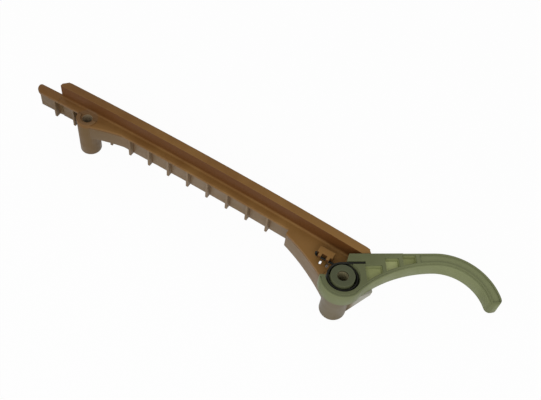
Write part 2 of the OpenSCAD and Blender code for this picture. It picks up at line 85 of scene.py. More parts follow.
class MouldedRailSettings(bpy.types.PropertyGroup):
    """Looks of the amber guide rail"""

    edge_radius: bpy.props.FloatProperty(
        name="Edge Radius", description="Rounding of the moulded edges",
        default=0.25 * MM, min=0.0, unit="LENGTH")
    amber: bpy.props.FloatVectorProperty(
        name="Amber", description="Colour of the nylon in thick sections",
        default=(0.185, 0.084, 0.020), size=3, subtype="COLOR")
    # Also painted light towards the rail's right end.
    amber_light: bpy.props.FloatVectorProperty(
        name="Light Amber", description="Colour of the nylon where it is thin or flowed last",
        default=(0.260, 0.135, 0.038), size=3, subtype="COLOR")
    # Painted shade: the upper wall's near face, the rail's left end and the crevices.
    shade_amber: bpy.props.FloatVectorProperty(
        name="Deep Amber", description="Colour of the upper wall's near face, above the deck",
        default=(0.125, 0.048, 0.012), size=3, subtype="COLOR")
    # Painted light from the white floor on the lower web and the bosses.
    floor_light: bpy.props.FloatVectorProperty(
        name="Bloom", description="Grey bloom on the lower web and the bosses",
        default=(0.215, 0.150, 0.088), size=3, subtype="COLOR")
    # Painted shade under the green hub.
    hub_shade_olive: bpy.props.FloatVectorProperty(
        name="Boss Olive", description="Colour of the pivot boss and its tube, at the hub",
        default=(0.160, 0.126, 0.073), size=3, subtype="COLOR")
    # Painted shade at the rail's left end, where the light falls off.
    left_shade_olive: bpy.props.FloatVectorProperty(
        name="Left Olive", description="Tint of the lower web and the boss at the rail's left end",
        default=(0.117, 0.084, 0.027), size=3, subtype="COLOR")
    pale_bore: bpy.props.FloatVectorProperty(
        name="Pale Bore", description="Colour inside the rail bolt's hole, where light comes through",
        default=(0.260, 0.200, 0.125), size=3, subtype="COLOR")
    # Painted light inside the pivot tube's hole.
    lit_olive_bore: bpy.props.FloatVectorProperty(
        name="Olive Bore", description="Colour inside the pivot tube's hole, under the hub",
        default=(0.240, 0.215, 0.120), size=3, subtype="COLOR")
    pale_corner: bpy.props.FloatVectorProperty(
        name="Pale Corner", description="Colour of the deck's thin corner beside the hub",
        default=(0.400, 0.390, 0.330), size=3, subtype="COLOR")
    pale_edge: bpy.props.FloatVectorProperty(
        name="Pale Edge", description="Colour along the edges, where light comes through",
        default=(0.290, 0.195, 0.090), size=3, subtype="COLOR")


class TensionerArmSettings(bpy.types.PropertyGroup):
    """Looks of the sage green arm"""

    edge_radius: bpy.props.FloatProperty(
        name="Edge Radius", description="Rounding of the moulded edges",
        default=0.35 * MM, min=0.0, unit="LENGTH")
    sage: bpy.props.FloatVectorProperty(
        name="Sage", description="Colour of the nylon on the arm's top and its end face",
        default=(0.125, 0.136, 0.062), size=3, subtype="COLOR")
    # Where this colour is used in the crevices, it is painted shade.
    dark_sage_and_shade: bpy.props.FloatVectorProperty(
        name="Dark Sage", description="Colour of the hub's cap inside the coil, and in crevices",
        default=(0.078, 0.086, 0.045), size=3, subtype="COLOR")
    pocket_floor: bpy.props.FloatVectorProperty(
        name="Pocket Floor", description="Colour of the pockets' floors, where light comes through",
        default=(0.390, 0.415, 0.185), size=3, subtype="COLOR")
    # Painted light coming through the second pocket's floor.
    pocket_glow: bpy.props.FloatVectorProperty(
        name="Pocket Glow", description="Colour of the second pocket's floor, the lightest of them",
        default=(0.560, 0.590, 0.290), size=3, subtype="COLOR")
    # Painted light: paler below the arm's top face and towards its outer end.
    sage_light: bpy.props.FloatVectorProperty(
        name="Light Sage", description="Colour of the nylon lower down, where the walls are thin",
        default=(0.222, 0.242, 0.118), size=3, subtype="COLOR")
    pale_edge: bpy.props.FloatVectorProperty(
        name="Pale Edge", description="Colour along the edges, where light comes through",
        default=(0.250, 0.270, 0.160), size=3, subtype="COLOR")


class TorsionSpringSettings(bpy.types.PropertyGroup):
    """Sizes and looks of the torsion spring"""

    wire: bpy.props.FloatProperty(
        name="Wire", description="Diameter of the wire", default=1.5 * MM, unit="LENGTH")
    coil: bpy.props.FloatProperty(
        name="Coil", description="Mean diameter of the coil", default=18.0 * MM, unit="LENGTH")
    sweep: bpy.props.FloatProperty(
        name="Sweep", description="Angle through which the coil winds",
        default=math.radians(1766.3), subtype="ANGLE", unit="ROTATION")
    low: bpy.props.FloatProperty(
        name="Low Turn", description="Height of the wire's axis at the fixed leg",
        default=33.15 * MM, unit="LENGTH")
    high: bpy.props.FloatProperty(
        name="High Turn", description="Height of the wire's axis at the arm's leg",
        default=40.9 * MM, unit="LENGTH")
    arm_angle: bpy.props.FloatProperty(
        name="Arm Angle", description="Direction of the arm's leg",
        default=math.radians(34.7), subtype="ANGLE", unit="ROTATION")
    arm_leg: bpy.props.FloatProperty(
        name="Arm Leg", description="Length of the leg in the arm", default=14.5 * MM, unit="LENGTH")
    fixed_angle: bpy.props.FloatProperty(
        name="Fixed Angle", description="Direction of the fixed leg",
        default=math.radians(181.0), subtype="ANGLE", unit="ROTATION")
    fixed_leg: bpy.props.FloatProperty(
        name="Fixed Leg", description="Length of the leg in the clip", default=22.0 * MM, unit="LENGTH")
    hook: bpy.props.FloatProperty(
        name="Hook", description="Height of the fixed leg's bent end", default=3.0 * MM, unit="LENGTH")
    black: bpy.props.FloatVectorProperty(
        name="Black", description="Colour of the oiled wire",
        default=(0.010, 0.010, 0.008), size=3, subtype="COLOR")


class StageSettings(bpy.types.PropertyGroup):
    """Floor, lights and camera"""

    floor: bpy.props.FloatVectorProperty(
        name="Floor", description="Colour of the floor", default=(0.90, 0.90, 0.90), size=3,
        subtype="COLOR")
    whiteness: bpy.props.FloatProperty(
        name="Whiteness", description="Share of plain white in the floor that the camera sees",
        default=0.96, min=0.0, max=1.0, subtype="FACTOR")
    key: bpy.props.FloatProperty(
        name="Key", description="Power of the large soft light", default=4.0, unit="POWER")
    sky: bpy.props.FloatProperty(name="Sky", description="Strength of the even light", default=0.55)
    lens: bpy.props.FloatProperty(
        name="Lens", description="Focal length in millimetres", default=53.23)


def deselect_all():
    """Leave edit mode and select nothing."""
    if bpy.context.mode != "OBJECT":
        bpy.ops.object.mode_set(mode="OBJECT")
    bpy.ops.object.select_all(action="DESELECT")


def make_active(piece):
    """Select only this piece and make it active."""
    deselect_all()
    piece.select_set(True)
    bpy.context.view_layer.objects.active = piece


def need(ok, message):
    """Stop the script when an operator can't finish."""
    if not ok:
        raise RuntimeError(message)


# Shader nodes, laid out on a grid below the material's shader in the order of their making

GRID_STEP = (220, -260)
GRID_ROWS = 5
GRID_TOP = -600


def node_of(tree, kind, **values):
    """Add a node in the next place of the grid and set its properties."""
    column, row = divmod(len(tree.nodes), GRID_ROWS)
    node = tree.nodes.new(kind)
    node.location = (column * GRID_STEP[0], GRID_TOP + row * GRID_STEP[1])
    for name, value in values.items():
        setattr(node, name, value)
    return node


def math_node(tree, operation, first, second):
    """Add a maths node. Each operand is a number or an output socket."""
    node = node_of(tree, "ShaderNodeMath", operation=operation)
    for index, operand in enumerate((first, second)):
        if isinstance(operand, (int, float)):
            node.inputs[index].default_value = operand
        else:
            tree.links.new(operand, node.inputs[index])
    return node.outputs[0]


def both(tree, first, second):
    """Product of two masks, or of a mask and a share."""
    return math_node(tree, "MULTIPLY", first, second)


def either(tree, first, second):
    """The larger of two masks."""
    return math_node(tree, "MAXIMUM", first, second)


def less(tree, first, second):
    """The first value with the second taken away."""
    return math_node(tree, "SUBTRACT", first, second)


def noise_node(tree, vector, scale, detail, roughness):
    """Add a noise texture and return its value output."""
    node = node_of(tree, "ShaderNodeTexNoise")
    node.inputs["Scale"].default_value = scale
    node.inputs["Detail"].default_value = detail
    node.inputs["Roughness"].default_value = roughness
    tree.links.new(vector, node.inputs["Vector"])
    return node.outputs["Fac"]


def ramp_between(tree, value, none, full):
    """0 where the value is none and 1 where it is full, smoothly between them and clamped."""
    node = node_of(tree, "ShaderNodeMapRange", interpolation_type="SMOOTHSTEP")
    node.inputs["From Min"].default_value = none
    node.inputs["From Max"].default_value = full
    tree.links.new(value, node.inputs["Value"])
    return node.outputs["Result"]


def mix_colours(tree, factor, first, second):
    """Mix two colours. Each is a colour value or an output socket."""
    node = node_of(tree, "ShaderNodeMix", data_type="RGBA")
    tree.links.new(factor, node.inputs["Factor"])
    colour_inputs = [s for s in node.inputs if s.type == "RGBA"]
    for socket, colour in zip(colour_inputs, (first, second)):
        if isinstance(colour, bpy.types.NodeSocket):
            tree.links.new(colour, socket)
        else:
            socket.default_value = (*colour, 1.0)
    return [s for s in node.outputs if s.type == "RGBA"][0]


# Shader node groups: noises as scale, detail and roughness, and ranges from no effect to full effect

MOTTLE_NOISE = (40.0, 3.0, 0.5)
MOTTLE_RANGE = (0.25, 0.75)
FLOW_NOISE = (90.0, 4.0, 0.6)
FLOW_RANGE = (0.35, 0.7)
GRAIN_NOISE = (1500.0, 3.0, 0.6)
EDGE_RANGE = (0.98, 0.80)
EDGE_SAMPLES = 4
CREVICE_RANGE = (0.95, 0.65)
CREVICE_SAMPLES = 8


def group_output(group, name):
    """Add one value output to a node group."""
    group.interface.new_socket(name=name, in_out="OUTPUT", socket_type="NodeSocketFloat")


def fill_moulded_skin(group):
    """Flow marks, mottle and fine grain of moulded nylon."""
    group.interface.new_socket(name="Stretch", in_out="INPUT", socket_type="NodeSocketVector")
    for name in ("Mottle", "Flow", "Grain"):
        group_output(group, name)
    inputs = node_of(group, "NodeGroupInput")
    outputs = node_of(group, "NodeGroupOutput")
    coords = node_of(group, "ShaderNodeTexCoord")
    stretched = node_of(group, "ShaderNodeVectorMath", operation="MULTIPLY")
    group.links.new(coords.outputs["Object"], stretched.inputs[0])
    group.links.new(inputs.outputs["Stretch"], stretched.inputs[1])
    mottle = noise_node(group, coords.outputs["Object"], *MOTTLE_NOISE)
    flow = noise_node(group, stretched.outputs["Vector"], *FLOW_NOISE)
    grain = noise_node(group, coords.outputs["Object"], *GRAIN_NOISE)
    group.links.new(ramp_between(group, mottle, *MOTTLE_RANGE), outputs.inputs["Mottle"])
    group.links.new(ramp_between(group, flow, *FLOW_RANGE), outputs.inputs["Flow"])
    group.links.new(grain, outputs.inputs["Grain"])


def fill_pale_edge(group):
    """Mask along edges, from the difference between the face's normal and a rounded one."""
    group.interface.new_socket(name="Radius", in_out="INPUT", socket_type="NodeSocketFloat")
    group_output(group, "Mask")
    inputs = node_of(group, "NodeGroupInput")
    outputs = node_of(group, "NodeGroupOutput")
    rounded = node_of(group, "ShaderNodeBevel", samples=EDGE_SAMPLES)
    flat = node_of(group, "ShaderNodeNewGeometry")
    dot = node_of(group, "ShaderNodeVectorMath", operation="DOT_PRODUCT")
    group.links.new(inputs.outputs["Radius"], rounded.inputs["Radius"])
    group.links.new(rounded.outputs["Normal"], dot.inputs[0])
    group.links.new(flat.outputs["Normal"], dot.inputs[1])
    mask = ramp_between(group, dot.outputs["Value"], *EDGE_RANGE)
    group.links.new(mask, outputs.inputs["Mask"])


def fill_crevice(group):
    """Mask in corners and grooves, from how far the surface is shut in."""
    group.interface.new_socket(name="Reach", in_out="INPUT", socket_type="NodeSocketFloat")
    group_output(group, "Mask")
    inputs = node_of(group, "NodeGroupInput")
    outputs = node_of(group, "NodeGroupOutput")
    shut_in = node_of(group, "ShaderNodeAmbientOcclusion", samples=CREVICE_SAMPLES, only_local=True)
    group.links.new(inputs.outputs["Reach"], shut_in.inputs["Distance"])
    mask = ramp_between(group, shut_in.outputs["AO"], *CREVICE_RANGE)
    group.links.new(mask, outputs.inputs["Mask"])


GROUPS = {
    "moulded_skin": fill_moulded_skin,
    "pale_edge": fill_pale_edge,
    "crevice": fill_crevice,
}


def place_group(tree, name, socket, value):
    """Place a node group in a material, with its own value on one input, and return its outputs."""
    group = bpy.data.node_groups.get(name)
    if group is None:
        group = bpy.data.node_groups.new(name, "ShaderNodeTree")
        GROUPS[name](group)
    node = node_of(tree, "ShaderNodeGroup", node_tree=group)
    node.inputs[socket].default_value = value
    return node.outputs


# Masks on a piece, each with limits from no effect to full effect


def axis_mask(tree, source, axis, limits):
    """Mask along one axis of the piece's coordinates or normals."""
    coords = node_of(tree, "ShaderNodeTexCoord")
    axes = node_of(tree, "ShaderNodeSeparateXYZ")
    tree.links.new(coords.outputs[source], axes.inputs["Vector"])
    return ramp_between(tree, axes.outputs[axis], *limits)


def place_mask(tree, axis, limits):
    """Mask by place along one axis."""
    return axis_mask(tree, "Object", axis, limits)


def facing_mask(tree, axis, limits):
    """Mask by how far the surface faces along one axis."""
    return axis_mask(tree, "Normal", axis, limits)


def round_mask(tree, centre, limits):
    """Mask by distance from an upright axis."""
    coords = node_of(tree, "ShaderNodeTexCoord")
    flat = node_of(tree, "ShaderNodeVectorMath", operation="MULTIPLY")
    flat.inputs[1].default_value = (1.0, 1.0, 0.0)
    reach = node_of(tree, "ShaderNodeVectorMath", operation="DISTANCE")
    reach.inputs[1].default_value = (*centre, 0.0)
    tree.links.new(coords.outputs["Object"], flat.inputs[0])
    tree.links.new(flat.outputs["Vector"], reach.inputs[0])
    return ramp_between(tree, reach.outputs["Value"], *limits)


def edge_and_crevice(tree, radius, reach):
    """Masks on edges and in crevices. The first is kept off inner corners."""
    edge = place_group(tree, "pale_edge", "Radius", radius)["Mask"]
    crevice = place_group(tree, "crevice", "Reach", reach)["Mask"]
    return both(tree, edge, less(tree, 1.0, crevice)), crevice


# Finishes

PIVOT_BOLT = (0.0, 0.0)
RAIL_BOLT = (-202.0 * MM, 15.3 * MM)
NYLON_IOR = 1.5
NYLON_GLOSS = 0.15

# Strength and height of the moulded grain and the drawing marks
NYLON_GRAIN = (0.1, 0.04 * MM)
WIRE_GRAIN = (0.1, 0.03 * MM)


def new_material(name):
    """Make a node material and return it with its tree and shader."""
    material = bpy.data.materials.new(name)
    material.use_nodes = True
    tree = material.node_tree
    return material, tree, tree.nodes["Principled BSDF"]


def rough_between(tree, shader, mask, smooth, dull):
    """Roughness from a mask, between a smooth and a dull value."""
    rough = node_of(tree, "ShaderNodeMapRange")
    rough.inputs["To Min"].default_value = smooth
    rough.inputs["To Max"].default_value = dull
    tree.links.new(mask, rough.inputs["Value"])
    tree.links.new(rough.outputs["Result"], shader.inputs["Roughness"])


def grain_bump(tree, shader, grain, strength, height):
    """Fine grain on the shader's normal."""
    bump = node_of(tree, "ShaderNodeBump")
    bump.inputs["Strength"].default_value = strength
    bump.inputs["Distance"].default_value = height
    tree.links.new(grain, bump.inputs["Height"])
    tree.links.new(bump.outputs["Normal"], shader.inputs["Normal"])


def finish_nylon(tree, shader, skin, colour, roughness):
    """Colour, roughness from the flow marks, low gloss and fine grain."""
    tree.links.new(colour, shader.inputs["Base Color"])
    rough_between(tree, shader, skin["Flow"], *roughness)
    shader.inputs["IOR"].default_value = NYLON_IOR
    shader.inputs["Specular IOR Level"].default_value = NYLON_GLOSS
    grain_bump(tree, shader, skin["Grain"], *NYLON_GRAIN)


# Amber rail: stretch of its flow marks, roughness, and reach of its edge and crevice masks
RAIL_FLOW = (0.25, 1.0, 1.0)
RAIL_ROUGHNESS = (0.42, 0.6)
RAIL_EDGE = 0.6 * MM
RAIL_CREVICE = 1.5 * MM

# Limits along the rail
RIGHT_END = (-110.0 * MM, 10.0 * MM)
LEFT_END = (-150.0 * MM, -215.0 * MM)
FAR_LEFT = (-160.0 * MM, -195.0 * MM)
THIN_CORNER = (9.0 * MM, 12.0 * MM)

# Limits of height on the rail
DECK_TOP = 30.5 * MM
ABOVE_DECK = (DECK_TOP, DECK_TOP + 2.0 * MM)
BELOW_DECK = (DECK_TOP - 0.5 * MM, DECK_TOP - 4.0 * MM)
NEAR_DECK = (DECK_TOP + 1.5 * MM, DECK_TOP + 0.8 * MM)

# Limits of the normal's Y on the rail
NEAR_SIDE = (-0.3, -0.8)
NOT_SLIDING = (0.9, 0.5)

# Limits of distance from the rail's two bolts
BORE_RADIUS = 3.3 * MM
BORE_WALL = (BORE_RADIUS + 0.2 * MM, BORE_RADIUS)
BOSS_TOP = (8.0 * MM, 6.0 * MM)
PIVOT_TUBE = (7.5 * MM, 6.5 * MM)
PIVOT_BOSS = (11.0 * MM, 9.0 * MM)

# Shares of the rail's tints, and of its painted light and shade, at full effect
LOW_FLOOR_LIGHT = 0.9
BOSS_FLOOR_LIGHT = 0.6
LEFT_SHADE = 0.5
LEFT_OLIVE_SHADE = 0.4
RAIL_EDGE_SHARE = 0.5
RAIL_CREVICE_SHARE = 0.35


def amber_nylon(look):
    """Satin amber nylon: painted shade on the upper wall's near face, at the left end, under the hub and
    in crevices, painted floor light low down, pale edges and pale bores.
    """
    material, tree, shader = new_material("amber_nylon_satin")
    skin = place_group(tree, "moulded_skin", "Stretch", RAIL_FLOW)
    # The mottle is the nylon's own uneven tone; lighter towards the rail's right end is painted light.
    light = either(tree, skin["Mottle"], place_mask(tree, "X", RIGHT_END))
    colour = mix_colours(tree, light, look.amber, look.amber_light)
    # Painted shade on the upper wall's near face, above the deck.
    wall = both(tree, place_mask(tree, "Z", ABOVE_DECK), facing_mask(tree, "Y", NEAR_SIDE))
    colour = mix_colours(tree, wall, colour, look.shade_amber)
    # Painted light from the white floor: grey and paler on the lower web and on the rail bolt's boss.
    below_deck = place_mask(tree, "Z", BELOW_DECK)
    low = both(tree, below_deck, facing_mask(tree, "Y", NOT_SLIDING))
    low = both(tree, low, LOW_FLOOR_LIGHT)
    boss_top = both(tree, round_mask(tree, RAIL_BOLT, BOSS_TOP), place_mask(tree, "Z", NEAR_DECK))
    floor_light = either(tree, low, both(tree, boss_top, BOSS_FLOOR_LIGHT))
    colour = mix_colours(tree, floor_light, colour, look.floor_light)
    # Painted shade towards the rail's left end, where the light falls off: darker, and darker olive on the
    # lower web.
    dull = both(tree, place_mask(tree, "X", LEFT_END), LEFT_SHADE)
    colour = mix_colours(tree, dull, colour, look.shade_amber)
    left_shaded = both(tree, place_mask(tree, "X", FAR_LEFT), low)
    left_shaded = both(tree, left_shaded, LEFT_OLIVE_SHADE)
    colour = mix_colours(tree, left_shaded, colour, look.left_shade_olive)
    # Painted shade, darker and olive, on the pivot boss under the hub.
    under_hub = both(tree, round_mask(tree, PIVOT_BOLT, PIVOT_BOSS), below_deck)
    colour = mix_colours(tree, under_hub, colour, look.hub_shade_olive)
    colour = mix_colours(tree, place_mask(tree, "X", THIN_CORNER), colour, look.pale_corner)
    rail_bore = round_mask(tree, RAIL_BOLT, BORE_WALL)
    colour = mix_colours(tree, rail_bore, colour, look.pale_bore)
    # Painted shade on the pivot tube under the hub.
    pivot_tube = round_mask(tree, PIVOT_BOLT, PIVOT_TUBE)
    colour = mix_colours(tree, pivot_tube, colour, look.hub_shade_olive)
    # Painted light inside the pivot tube's bore.
    pivot_bore = round_mask(tree, PIVOT_BOLT, BORE_WALL)
    colour = mix_colours(tree, pivot_bore, colour, look.lit_olive_bore)
    outer, crevice = edge_and_crevice(tree, RAIL_EDGE, RAIL_CREVICE)
    off_tube = either(tree, less(tree, RAIL_EDGE_SHARE, pivot_tube), 0.0)
    colour = mix_colours(tree, both(tree, outer, off_tube), colour, look.pale_edge)
    # Painted shade in corners and grooves.
    deep = both(tree, crevice, RAIL_CREVICE_SHARE)
    colour = mix_colours(tree, deep, colour, look.shade_amber)
    finish_nylon(tree, shader, skin, colour, RAIL_ROUGHNESS)
    return material


# Sage arm: stretch of its flow marks, roughness, and reach of its edge, crevice and pocket masks
ARM_FLOW = (1.0, 1.0, 0.5)
ARM_ROUGHNESS = (0.45, 0.62)
ARM_EDGE = 0.7 * MM
ARM_CREVICE = 1.6 * MM
POCKET_REACH = 6.0 * MM

# Limits of depth below the arm's top
POCKET_DEPTH = 4.6 * MM
BELOW_TOP_FACE = (0.4 * MM, 0.9 * MM)
UNDER_LEDGE = (1.2 * MM, 1.5 * MM)
SUNK = (0.5 * POCKET_DEPTH, 0.8 * POCKET_DEPTH)
OVER_FLOOR = (1.3 * POCKET_DEPTH, 1.05 * POCKET_DEPTH)
OVER_GROOVE = (2.0 * POCKET_DEPTH, 1.5 * POCKET_DEPTH)

# Limits of distance from the pivot, on the arm
HUB_CAP = (8.0 * MM, 7.0 * MM)
BEYOND_COIL = (12.0 * MM, 16.0 * MM)
HUB = (18.0 * MM, 14.0 * MM)
PAST_FIRST_POCKET = (20.0 * MM, 30.0 * MM)
BEFORE_THIRD_POCKET = (46.0 * MM, 35.0 * MM)
OUTWARDS = (18.0 * MM, 50.0 * MM)

# Limits along X at the arm's tip, and of the normal's Y and Z
ARM_TIP = (71.0 * MM, 80.0 * MM)
END_SIDE = (-0.6, -0.95)
FACING_UP = (0.6, 0.9)

# Shares of the arm's tints, and of its painted light and shade, at full effect
ARM_MOTTLE = 0.3
OUTER_LIGHT = 0.6
END_FACE_DARK = 0.65
HUB_DARK = 0.25
ARM_EDGE_SHARE = 0.45
POCKET_WALL_LIGHT = 0.6
ARM_CREVICE_SHARE = 0.9

# Shares taken off the painted crevice shade in the pockets and on the bend
POCKET_OFF = 0.85
BEND_OFF = 0.5


def sage_nylon(look):
    """Satin sage green nylon: dark on the hub's cap, painted light below the top face, towards the outer
    end and on the pockets' floors and walls, and painted shade in crevices.
    """
    material, tree, shader = new_material("sage_nylon_satin")
    skin = place_group(tree, "moulded_skin", "Stretch", ARM_FLOW)
    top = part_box("tensioner_arm")[1].z

    def depth_mask(limits):
        """Mask by depth below the arm's top."""
        return place_mask(tree, "Z", tuple(top - depth for depth in limits))

    # Painted light: paler below the top face and towards the outer end; the mottle is the nylon's own
    # uneven tone.
    colour = mix_colours(tree, depth_mask(BELOW_TOP_FACE), look.sage, look.sage_light)
    outwards = round_mask(tree, PIVOT_BOLT, OUTWARDS)
    mottle = both(tree, skin["Mottle"], ARM_MOTTLE)
    light = either(tree, mottle, both(tree, outwards, OUTER_LIGHT))
    colour = mix_colours(tree, light, colour, look.sage_light)
    # The end face at the tip goes back most of the way to plain sage, out of that painted light.
    end_face = both(tree, place_mask(tree, "X", ARM_TIP), facing_mask(tree, "Y", END_SIDE))
    end_face = both(tree, end_face, END_FACE_DARK)
    colour = mix_colours(tree, end_face, colour, look.sage)
    # Painted light coming through the pockets' floors, lightest in the second pocket.
    floor = both(tree, facing_mask(tree, "Z", FACING_UP), depth_mask(SUNK))
    floor = both(tree, floor, depth_mask(OVER_GROOVE))
    past_first = round_mask(tree, PIVOT_BOLT, PAST_FIRST_POCKET)
    second = both(tree, past_first, round_mask(tree, PIVOT_BOLT, BEFORE_THIRD_POCKET))
    glow = mix_colours(tree, second, look.pocket_floor, look.pocket_glow)
    colour = mix_colours(tree, floor, colour, glow)
    thick = both(tree, round_mask(tree, PIVOT_BOLT, HUB), HUB_DARK)
    colour = mix_colours(tree, thick, colour, look.dark_sage_and_shade)
    cap = round_mask(tree, PIVOT_BOLT, HUB_CAP)
    colour = mix_colours(tree, cap, colour, look.dark_sage_and_shade)
    outer, crevice = edge_and_crevice(tree, ARM_EDGE, ARM_CREVICE)
    colour = mix_colours(tree, both(tree, outer, ARM_EDGE_SHARE), colour, look.pale_edge)
    # Painted light on the pockets' walls, from the crevice mask with a wide reach.
    in_pocket = both(tree, depth_mask(UNDER_LEDGE), depth_mask(OVER_FLOOR))
    in_pocket = both(tree, in_pocket, round_mask(tree, PIVOT_BOLT, BEYOND_COIL))
    wall = both(tree, place_group(tree, "crevice", "Reach", POCKET_REACH)["Mask"], in_pocket)
    wall = both(tree, wall, less(tree, POCKET_WALL_LIGHT, floor))
    colour = mix_colours(tree, either(tree, wall, 0.0), colour, look.pocket_floor)
    # Painted shade in corners and grooves, mostly taken off in the pockets and on the bend.
    lit = either(tree, both(tree, in_pocket, POCKET_OFF), both(tree, outwards, BEND_OFF))
    deep = both(tree, crevice, less(tree, ARM_CREVICE_SHARE, lit))
    colour = mix_colours(tree, deep, colour, look.dark_sage_and_shade)
    finish_nylon(tree, shader, skin, colour, ARM_ROUGHNESS)
    return material


# Oiled wire: stretch of its drawing marks, roughness, metal, gloss, and its marks against its black
WIRE_FLOW = (1.0, 1.0, 6.0)
WIRE_ROUGHNESS = (0.28, 0.45)
WIRE_METAL = 0.4
WIRE_GLOSS = 0.12
MARKS_LIGHTER = 2.2


def oiled_wire(look):
    """Black oiled spring steel with drawing marks."""
    material, tree, shader = new_material("oiled_spring_wire")
    skin = place_group(tree, "moulded_skin", "Stretch", WIRE_FLOW)
    marks = tuple(MARKS_LIGHTER * c for c in look.black)
    colour = mix_colours(tree, skin["Flow"], look.black, marks)
    tree.links.new(colour, shader.inputs["Base Color"])
    rough_between(tree, shader, skin["Mottle"], *WIRE_ROUGHNESS)
    shader.inputs["Metallic"].default_value = WIRE_METAL
    shader.inputs["Specular IOR Level"].default_value = WIRE_GLOSS
    grain_bump(tree, shader, skin["Grain"], *WIRE_GRAIN)
    return material


# Moulded pieces

MERGE_DISTANCE = 0.002 * MM
EDGE_ANGLE = math.radians(32.0)
EDGE_SEGMENTS = 2


def give_material(piece, material):
    """Make this the piece's only material."""
    piece.data.materials.clear()
    piece.data.materials.append(material)


def moulded_copy(node, name, edge_radius):
    """Copy a node's shape, merge its triangles' corners and round its moulded edges."""
    make_active(frame["nodes"][node])
    bpy.ops.object.duplicate()
    piece = bpy.context.view_layer.objects.active
    need(piece is not frame["nodes"][node], "the node wasn't copied: " + node)
    piece.name = name
    piece.data.name = name
    piece.parent = None
    piece.matrix_world = Matrix.Identity(4)
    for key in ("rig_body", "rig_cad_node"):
        if key in piece:
            del piece[key]
    bpy.ops.mesh.customdata_custom_splitnormals_clear()
    bpy.ops.object.mode_set(mode="EDIT")
    bpy.ops.mesh.select_all(action="SELECT")
    bpy.ops.mesh.remove_doubles(threshold=MERGE_DISTANCE)
    bpy.ops.object.mode_set(mode="OBJECT")
    bevel = piece.modifiers.new("moulded_edges", "BEVEL")
    bevel.width = edge_radius
    bevel.segments = EDGE_SEGMENTS
    bevel.limit_method = "ANGLE"
    bevel.angle_limit = EDGE_ANGLE
    bevel.use_clamp_overlap = False
    bevel.loop_slide = False
    bpy.ops.object.modifier_apply(modifier=bevel.name)
    bpy.ops.object.shade_smooth_by_angle(angle=EDGE_ANGLE)
    return piece


class CHAINGUIDE_OT_guide_rail(bpy.types.Operator):
    """Mould the amber guide rail"""

    bl_idname = "chainguide.guide_rail"
    bl_label = "Guide Rail"

    def execute(self, context):
        look = context.scene.chain_guide_rail
        piece = moulded_copy("guide_rail", "guide_rail_moulding", look.edge_radius)
        give_material(piece, amber_nylon(look))
        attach(piece, "guide")
        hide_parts("guide_rail")
        return {"FINISHED"}


class CHAINGUIDE_OT_tensioner_arm(bpy.types.Operator):
    """Mould the sage green tensioner arm"""

    bl_idname = "chainguide.tensioner_arm"
    bl_label = "Tensioner Arm"

    def execute(self, context):
        look = context.scene.chain_guide_arm
        piece = moulded_copy("tensioner_arm", "tensioner_arm_moulding", look.edge_radius)
        give_material(piece, sage_nylon(look))
        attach(piece, "arm")
        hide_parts("tensioner_arm")
        return {"FINISHED"}


# Spring wire

WIRE_SIDES = 14
WIRE_SMOOTH_ANGLE = math.radians(40.0)
COIL_STEP = math.radians(6.0)
HOOK_STEPS = 8

# Chamfer at the wire's ends, as a share of its radius
CHAMFER_SHARE = 0.25


def select_ring(mesh, ring):
    """Select the vertices and edges of one open end of the wire, after all was deselected."""
    for vert in ring:
        vert.select = True
    for edge in mesh.edges:
        if edge.verts[0].select and edge.verts[1].select:
            edge.select = True


def open_ends(mesh):
    """The wire's open rings, lowest first."""
    rings = []
    seen = set()
    for start in (v for v in mesh.verts if v.is_boundary):
        if start in seen:
            continue
        ring = [start]
        seen.add(start)
        for vert in ring:
            for edge in vert.link_edges:
                other = edge.other_vert(vert)
                if edge.is_boundary and other not in seen:
                    seen.add(other)
                    ring.append(other)
        rings.append(ring)
    return sorted(rings, key=lambda ring: sum(v.co.z for v in ring) / len(ring))


def edit_end(piece, which):
    """Select an open end in edit mode, 0 for the lowest or -1 for the highest, and return its centre."""
    bpy.ops.mesh.select_all(action="DESELECT")
    mesh = bmesh.from_edit_mesh(piece.data)
    rings = open_ends(mesh)
    need(rings, "the wire has no open end")
    select_ring(mesh, rings[which])
    bmesh.update_edit_mesh(piece.data)
    total = Vector((0.0, 0.0, 0.0))
    for vert in rings[which]:
        total += vert.co
    return total / len(rings[which])


def draw_out(offset):
    """Extrude the selected end of the wire."""
    bpy.ops.mesh.extrude_region_move(TRANSFORM_OT_translate={"value": offset})


def draw_leg(offset):
    """Extrude the selected end of the wire in two halves."""
    draw_out(offset / 2)
    draw_out(offset / 2)


def close_end(end, along, wire_radius):
    """Close the selected end with a small chamfer and a flat face."""
    chamfer = CHAMFER_SHARE * wire_radius
    narrow = 1.0 - CHAMFER_SHARE
    draw_out(along * chamfer)
    bpy.ops.transform.resize(value=(narrow, narrow, narrow), center_override=end + along * chamfer)
    bpy.ops.mesh.edge_face_add()


def level_direction(angle):
    """Level direction at an angle from the X axis."""
    return Vector((math.cos(angle), math.sin(angle), 0.0))


